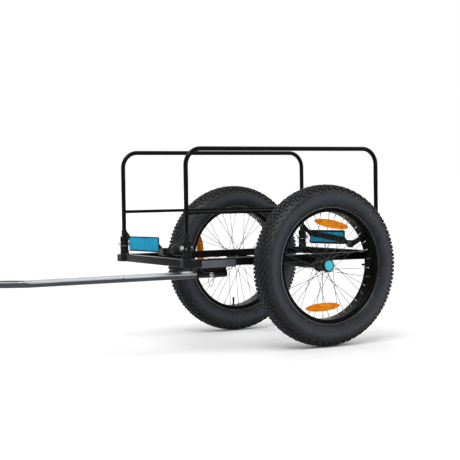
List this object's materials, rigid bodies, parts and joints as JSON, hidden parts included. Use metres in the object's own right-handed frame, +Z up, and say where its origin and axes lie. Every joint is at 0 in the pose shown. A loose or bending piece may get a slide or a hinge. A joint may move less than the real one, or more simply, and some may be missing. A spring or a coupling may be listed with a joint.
{
  "type": "bicycle beach trailer",
  "caption": "Bicycle trailer for long boards: a low tube frame on wide spoked wheels, with a removable hoop on each side, padded cargo belts and an offset drawbar with a universal-joint hitch.",
  "frame": {"origin": "the bottom centre of the trailer's box, on the ground under the wheels", "axes": "+X rearward, away from the bicycle; +Y to the trailer's right, away from the drawbar; +Z up"},
  "size_m": [1.8052, 0.7564, 0.7218],
  "materials": {
    "black_paint": "gloss black powder coat on aluminium",
    "black_plastic": "moulded, satin",
    "grey_anodised": "dark anodised",
    "bare_aluminium": "clear anodised",
    "dark_steel": "black oxide and paint",
    "zinc_steel": "bright zinc plated",
    "tyre_rubber": "matte",
    "amber_plastic": "clear amber prism plastic",
    "teal_plastic": "satin",
    "teal_fabric": "woven, padded",
    "black_webbing": "flat woven webbing",
    "cord_black": "coated cord"
  },
  "bodies": {
    "frame": {"axle_beam": "black_paint", "axle_bush_left": "dark_steel", "axle_bush_right": "dark_steel", "belt_front_buckle": "zinc_steel", "belt_front_pad": "teal_fabric", "belt_front_strap": "black_webbing", "belt_rear_buckle": "zinc_steel", "belt_rear_pad": "teal_fabric", "belt_rear_strap": "black_webbing", "corner_node_front_left": "black_plastic", "corner_node_front_right": "black_plastic", "corner_node_rear_left": "black_plastic", "corner_node_rear_right": "black_plastic", "cross_tube_front": "black_paint", "cross_tube_rear": "black_paint", "drawbar_receiver": "black_plastic", "drawbar_saddle": "grey_anodised", "drawbar_tube": "bare_aluminium", "hitch_clevis": "dark_steel", "hoop_left": "black_paint", "hoop_right": "black_paint", "lanyard_drawbar": "cord_black", "lanyard_front_left": "cord_black", "lanyard_front_right": "cord_black", "lanyard_rear_left": "cord_black", "lanyard_rear_right": "cord_black", "lock_pin_drawbar": "zinc_steel", "lock_pin_front_left": "zinc_steel", "lock_pin_front_right": "zinc_steel", "lock_pin_rear_left": "zinc_steel", "lock_pin_rear_right": "zinc_steel", "side_tube_left": "black_paint", "side_tube_right": "black_paint", "wheel_left_axle": "black_plastic", "wheel_right_axle": "black_plastic"},
    "wheel_left": {"wheel_left_bearing_inner": "zinc_steel", "wheel_left_bearing_outer": "zinc_steel", "wheel_left_hub_and_spokes": "dark_steel", "wheel_left_reflector_lower": "amber_plastic", "wheel_left_reflector_upper": "amber_plastic", "wheel_left_rim": "black_paint", "wheel_left_tyre": "tyre_rubber"},
    "release_button_left": {"wheel_left_release_button": "teal_plastic"},
    "wheel_right": {"wheel_right_bearing_inner": "zinc_steel", "wheel_right_bearing_outer": "zinc_steel", "wheel_right_hub_and_spokes": "dark_steel", "wheel_right_reflector_lower": "amber_plastic", "wheel_right_reflector_upper": "amber_plastic", "wheel_right_rim": "black_paint", "wheel_right_tyre": "tyre_rubber"},
    "release_button_right": {"wheel_right_release_button": "teal_plastic"},
    "bail_front_left": {"bail_front_left": "zinc_steel"},
    "bail_front_right": {"bail_front_right": "zinc_steel"},
    "bail_rear_left": {"bail_rear_left": "zinc_steel"},
    "bail_rear_right": {"bail_rear_right": "zinc_steel"},
    "bail_drawbar": {"bail_drawbar": "zinc_steel"},
    "belt_front_lever": {"belt_front_lever": "zinc_steel"},
    "belt_rear_lever": {"belt_rear_lever": "zinc_steel"},
    "hitch_cross": {"hitch_cross": "zinc_steel"},
    "hitch_fork": {"hitch_fork": "dark_steel"}
  },
  "joints": [
    {"name": "wheel_left_spin", "type": "hinge", "parent": "frame", "child": "wheel_left", "pos_m": [0.55446, -0.3304, 0.292], "axis": [0, 1, 0], "continuous": true},
    {"name": "release_button_left_press", "type": "slide", "parent": "frame", "child": "release_button_left", "axis": [0, 1, 0], "range_m": [0, 0.003], "stiffness_N_per_m": 600},
    {"name": "wheel_right_spin", "type": "hinge", "parent": "frame", "child": "wheel_right", "pos_m": [0.55446, 0.3304, 0.292], "axis": [0, 1, 0], "continuous": true},
    {"name": "release_button_right_press", "type": "slide", "parent": "frame", "child": "release_button_right", "axis": [0, -1, 0], "range_m": [0, 0.003], "stiffness_N_per_m": 600},
    {"name": "bail_front_left_swing", "type": "hinge", "parent": "frame", "child": "bail_front_left", "pos_m": [0.01206, -0.25385, 0.372], "axis": [0, 0, 1], "range_deg": [0, 90]},
    {"name": "bail_front_right_swing", "type": "hinge", "parent": "frame", "child": "bail_front_right", "pos_m": [0.05167, 0.25385, 0.372], "axis": [0, 0, 1], "range_deg": [0, 90]},
    {"name": "bail_rear_left_swing", "type": "hinge", "parent": "frame", "child": "bail_rear_left", "pos_m": [0.81766, -0.25385, 0.372], "axis": [0, 0, 1], "range_deg": [0, 90]},
    {"name": "bail_rear_right_swing", "type": "hinge", "parent": "frame", "child": "bail_rear_right", "pos_m": [0.85727, 0.25385, 0.372], "axis": [0, 0, 1], "range_deg": [0, 90]},
    {"name": "bail_drawbar_swing", "type": "hinge", "parent": "frame", "child": "bail_drawbar", "pos_m": [0.14347, -0.2256, 0.2735], "axis": [-1, 0, 0], "range_deg": [0, 90]},
    {"name": "belt_front_lever_open", "type": "hinge", "parent": "frame", "child": "belt_front_lever", "pos_m": [0.02567, -0.085, 0.352], "axis": [0, 0, 1], "range_deg": [0, 90]},
    {"name": "belt_rear_lever_open", "type": "hinge", "parent": "frame", "child": "belt_rear_lever", "pos_m": [0.84366, -0.085, 0.352], "axis": [0, 0, -1], "range_deg": [0, 90]},
    {"name": "hitch_yaw", "type": "hinge", "parent": "frame", "child": "hitch_cross", "pos_m": [-0.82758, -0.085, 0.2735], "axis": [0, 0, 1], "range_deg": [-45, 45]},
    {"name": "hitch_pitch", "type": "hinge", "parent": "hitch_cross", "child": "hitch_fork", "pos_m": [-0.82758, -0.085, 0.2735], "axis": [0, 1, 0], "range_deg": [-30, 30]}
  ]
}
